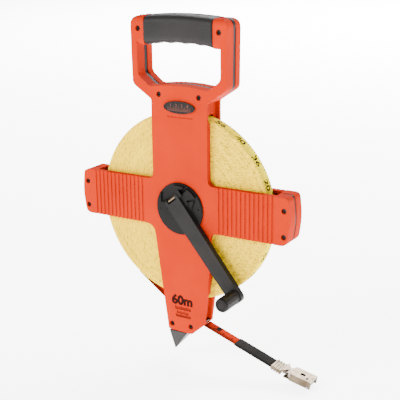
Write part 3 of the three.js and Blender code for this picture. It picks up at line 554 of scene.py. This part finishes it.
# ---------------------------------------------------------------- the hand grip
def make_grip():
    """Cushioned sleeve in two halves: an arched top and finger hollows along the underside."""
    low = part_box("grip_front")[0]
    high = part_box("grip_rear")[1]
    half_length = high.x
    seam = (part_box("grip_front")[1].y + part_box("grip_rear")[0].y) / 2
    middle_z = (low.z + high.z) / 2
    stations = 90
    around = 26
    finger = 16.5 * MM  # from one finger hollow to the next
    seam_gap = 0.12 * MM  # each half stands off the seam by this
    bore_depth = 9.4 * MM
    bore_half = 9.6 * MM
    end_round = 1.2 * MM

    def top(x):
        return high.z + 0.3 * MM - 2.0 * MM * (x / half_length) ** 2

    def bottom(x):
        arch = 2.6 * MM * (1 - abs(x / half_length) ** 2.6)
        hollow = 1.0 * MM * math.sqrt(math.sin(math.pi * (x + 11 * MM) / finger) ** 2 + 0.03)
        return low.z - 0.2 * MM + arch + hollow * (1 - abs(x / half_length) ** 6)

    def outer(x, reach, side):
        edge = half_length - abs(x)
        tuck = 0.9 * MM * (1 - math.sqrt(max(0.0, 1 - (1 - min(edge / end_round, 1.0)) ** 2)))
        points = []
        for j in range(around + 1):
            angle = math.pi * j / around
            c, s = math.cos(angle), math.sin(angle)
            rise = (top(x) - middle_z if c > 0 else middle_z - bottom(x)) - tuck
            y = seam + side * (seam_gap + (reach - tuck) * abs(s) ** 0.5)
            points.append(Vector((x, y, middle_z + rise * math.copysign(abs(c) ** 0.5, c))))
        return points

    def bore(x, side):
        deep = bore_depth + side * seam
        wall_top, wall_bottom = middle_z + bore_half, middle_z - bore_half
        path = [(0.0, wall_top), (deep, wall_top), (deep, wall_bottom), (0.0, wall_bottom)]
        lengths = [deep, wall_top - wall_bottom, deep]
        total = sum(lengths)
        points = []
        for j in range(around + 1):
            left = total * j / around
            k = 0
            while k < 2 and left > lengths[k]:
                left -= lengths[k]
                k += 1
            (a, za), (b, zb) = path[k], path[k + 1]
            t = min(left / lengths[k], 1.0)
            points.append(Vector((x, seam + side * (seam_gap + a + (b - a) * t), za + (zb - za) * t)))
        return list(reversed(points))

    for name, side, reach in (("grip_front", -1, seam - low.y), ("grip_rear", 1, high.y - seam)):
        sections = []
        for i in range(stations + 1):
            x = half_length * (2 * i / stations - 1)
            x = half_length * math.copysign(abs(x / half_length) ** 0.8, x)
            sections.append(outer(x, reach, side) + bore(x, side))
        columns = len(sections[0])
        faces = grid_faces(len(sections), columns)
        last = (len(sections) - 1) * columns
        for j in range(around):
            k = columns - 1 - j
            faces.append((j, j + 1, k - 1, k))
            faces.append((last + k, last + k - 1, last + j + 1, last + j))
        piece(name.replace("grip", "cushion"), points_of(sections), faces, RUBBER,
              "frame", "grip_rubber", [name])


make_grip()


# ---------------------------------------------------------------- badge and printing on the front
def on_front(u, v, w):
    """A point on the frame's front face, from the reel's axis."""
    return Vector((REEL.x + u, FRONT_FACE - w, REEL.z + v))


def make_badge_face():
    """A raised rim round the oval badge and a small scale across it."""
    low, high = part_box("badge")
    centre = (low + high) / 2
    a, b = (high.x - low.x) / 2, (high.z - low.z) / 2
    face = low.y
    profile = ((0.1, 0.0), (0.25, 0.32), (0.9, 0.32), (1.1, 0.0), (1.1, -0.12), (0.1, -0.12))
    count = 72
    sections = []
    for i in range(count):
        angle = math.tau * i / count
        section = []
        for inset, rise in profile:
            x = centre.x + (a - inset * MM) * math.cos(angle)
            z = centre.z + (b - inset * MM) * math.sin(angle)
            section.append(Vector((x, face - rise * MM, z)))
        sections.append(section)
    faces = grid_faces(count, len(profile), close_rows=True)
    piece("badge_rim", points_of(sections), faces, BLACK, "frame", "black_plastic")

    def place(u, v, w):
        return Vector((centre.x + u, face - w, centre.z + v))

    parts = []
    tall_ticks = {0: 6.2, 5: 4.6, 10: 4.0}
    half = 0.28 * MM
    foot = -3.1 * MM
    for i in range(-10, 11):
        height = tall_ticks.get(abs(i), 2.6) * MM
        u = i * 1.25 * MM
        parts.append(block(u - half, u + half, foot, foot + height, BADGE_ROOT, BADGE_TOP, place))
    parts.append(block(-13.2 * MM, 13.2 * MM, -3.5 * MM, -3.0 * MM, BADGE_ROOT, BADGE_TOP, place))
    for text, start in (("1", -9.5), ("2", -3.2), ("3", 3.2), ("4", 9.5)):

        def on_badge(x, y, w, start=start):
            return place(start * MM + x, 1.9 * MM + y, w + 0.1 * MM)

        parts.append(numeral(text, 3.4 * MM, 0.3 * MM, on_badge))
    piece("badge_scale", *join(parts), BADGE_INK, "frame", "black_plastic", smooth=False)


def make_front_print():
    """The reel's length in metres over three rows of ruler ticks, and a fine scale under the badge."""
    def on_nose(x, y, w):
        return on_front(0.2 * MM + x * 1.05, -98.2 * MM + y, w + 0.03 * MM)

    parts = [numeral("60m", 9.4 * MM, 0.1 * MM, on_nose, 0.07)]
    half_tick = 0.36 * MM
    # each row's foot, tick spacing, half width and tick size
    rows = ((-108.2, 1.35, 9.0, 1), (-112.6, 1.8, 7.0, 0.8), (-116.4, 1.2, 8.4, 0.8))
    for v, step, half, size in rows:
        foot = v * MM
        for i in range(int(2 * half / step) + 1):
            u = (-half + i * step + 1.2) * MM
            tall = (3.4 if i % 5 == 0 else 2.4) * MM * size
            parts.append(block(u - half_tick, u + half_tick, foot, foot + tall,
                               PRINT_ROOT, PRINT_THICKNESS, on_front))
        parts.append(block((-half + 0.9) * MM, (half + 1.5) * MM, (v - 0.6) * MM, foot,
                           PRINT_ROOT, PRINT_THICKNESS, on_front))
    piece("length_print", *join(parts), RED_INK, "frame", "black_plastic", smooth=False)

    fine = []
    half_tick = 0.25 * MM
    foot = 91.2 * MM
    for i in range(-12, 13):
        u = (1.3 + i * 1.15) * MM
        tall = (1.5 if i % 4 == 0 else 0.9) * MM
        fine.append(block(u - half_tick, u + half_tick, foot, foot + tall,
                          PRINT_ROOT, PRINT_THICKNESS, on_front))
    piece("badge_print", *join(fine), RED_INK, "frame", "black_plastic", smooth=False)


make_badge_face()
make_front_print()


# ---------------------------------------------------------------- carried-over CAD nodes
def finish_node(name, material, width, segments=3):
    """Gives a CAD node its material and rounds its edges, as a moulding's or a pressing's edges are."""
    obj = nodes[name]
    mesh = obj.data
    mesh.materials.clear()
    mesh.materials.append(material)
    for attribute in ("custom_normal", "sharp_edge"):
        if attribute in mesh.attributes:
            mesh.attributes.remove(mesh.attributes[attribute])
    mesh.polygons.foreach_set("use_smooth", [True] * len(mesh.polygons))
    weld = obj.modifiers.new("weld", "WELD")
    weld.merge_threshold = 0.00001
    flat = obj.modifiers.new("flat", "DECIMATE")
    flat.decimate_type = "DISSOLVE"
    flat.angle_limit = math.radians(0.6)
    soften(obj, width * MM, segments, 30)


def finish_nodes():
    for name in ("front_frame", "rear_frame"):
        finish_node(name, ORANGE, 0.8)
    for name in ("crank_arm", "knob_cap", "ground_spike", "badge"):
        finish_node(name, BLACK, 0.5)
    # The disc's darker black is painted shade for its recesses.
    finish_node("crank_disc", DISC_SHADED_BLACK, 0.5)
    finish_node("crank_knob", BLACK, 0.4)
    # The handle's seam liner, and the arms' end strips, which are dark sheets of painted shade in the gaps
    # between the halves.
    for name in ("handle_spacer", "arm_strip_left", "arm_strip_right"):
        finish_node(name, SEAM_LINER_AND_GAP_SHADE, 0.2, 2)
    for name in ("reel_hub", "front_bush", "rear_bush", "guide_roller_lower", "guide_roller_upper"):
        finish_node(name, ACETAL, 0.25)
    for name in ("crank_fold_pin", "mouth_pin", "blade_crimp", "hook_bracket", "hook_claw"):
        finish_node(name, NICKEL, 0.3, 2)
    for name in ("reel_axle", "axle_washer", "axle_nut", "tape_anchor", "knob_pin", "hook_pin",
                 "guide_roller_pin_lower", "guide_roller_pin_upper"):
        finish_node(name, STEEL, 0.2, 2)
    for name in nodes:
        if name.startswith("screw_"):
            finish_node(name, BLACK_STEEL, 0.25, 2)


finish_nodes()


# ---------------------------------------------------------------- stage
def make_stage():
    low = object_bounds()[0].z
    bpy.ops.mesh.primitive_plane_add(size=24, location=(0, 4, low - 0.002))
    floor = bpy.context.object
    floor.name = "floor"
    s = Shader("floor", 0.9, Specular_IOR_Level=0.1)
    s.colour(s.mix(s.noise(3), (0.93, 0.93, 0.93), (0.96, 0.96, 0.96)))
    s.bsdf.inputs["Emission Color"].default_value = (1, 1, 1, 1)
    s.bsdf.inputs["Emission Strength"].default_value = FLOOR_GLOW
    floor.data.materials.append(s.material)


def area_light(name, place, aim, size, power):
    light = bpy.data.objects.new(name, bpy.data.lights.new(name, "AREA"))
    light.data.shape = "SQUARE"
    light.data.size = size
    light.data.energy = power
    light.location = place
    light.rotation_euler = (Vector(aim) - Vector(place)).to_track_quat("-Z", "Y").to_euler()
    bpy.context.scene.collection.objects.link(light)


def light_stage():
    world = bpy.data.worlds.new("studio")
    bpy.context.scene.world = world
    world.use_nodes = True
    world.node_tree.nodes["Background"].inputs["Color"].default_value = (1, 1, 1, 1)
    world.node_tree.nodes["Background"].inputs["Strength"].default_value = WORLD_STRENGTH
    aim = (0.0, 0.0, -0.17)
    area_light("key", (-0.9, -1.3, 0.75), aim, 0.7, KEY_POWER)
    area_light("fill", (1.4, -0.5, 0.1), aim, 1.0, FILL_POWER)
    area_light("top", (0.1, 0.6, 1.4), (0.0, 0.4, -0.4), 1.2, TOP_POWER)
    area_light("backdrop", (0.0, 4.0, 2.6), (0.0, 5.2, -0.4), 4.5, BACKDROP_POWER)


make_stage()
light_stage()
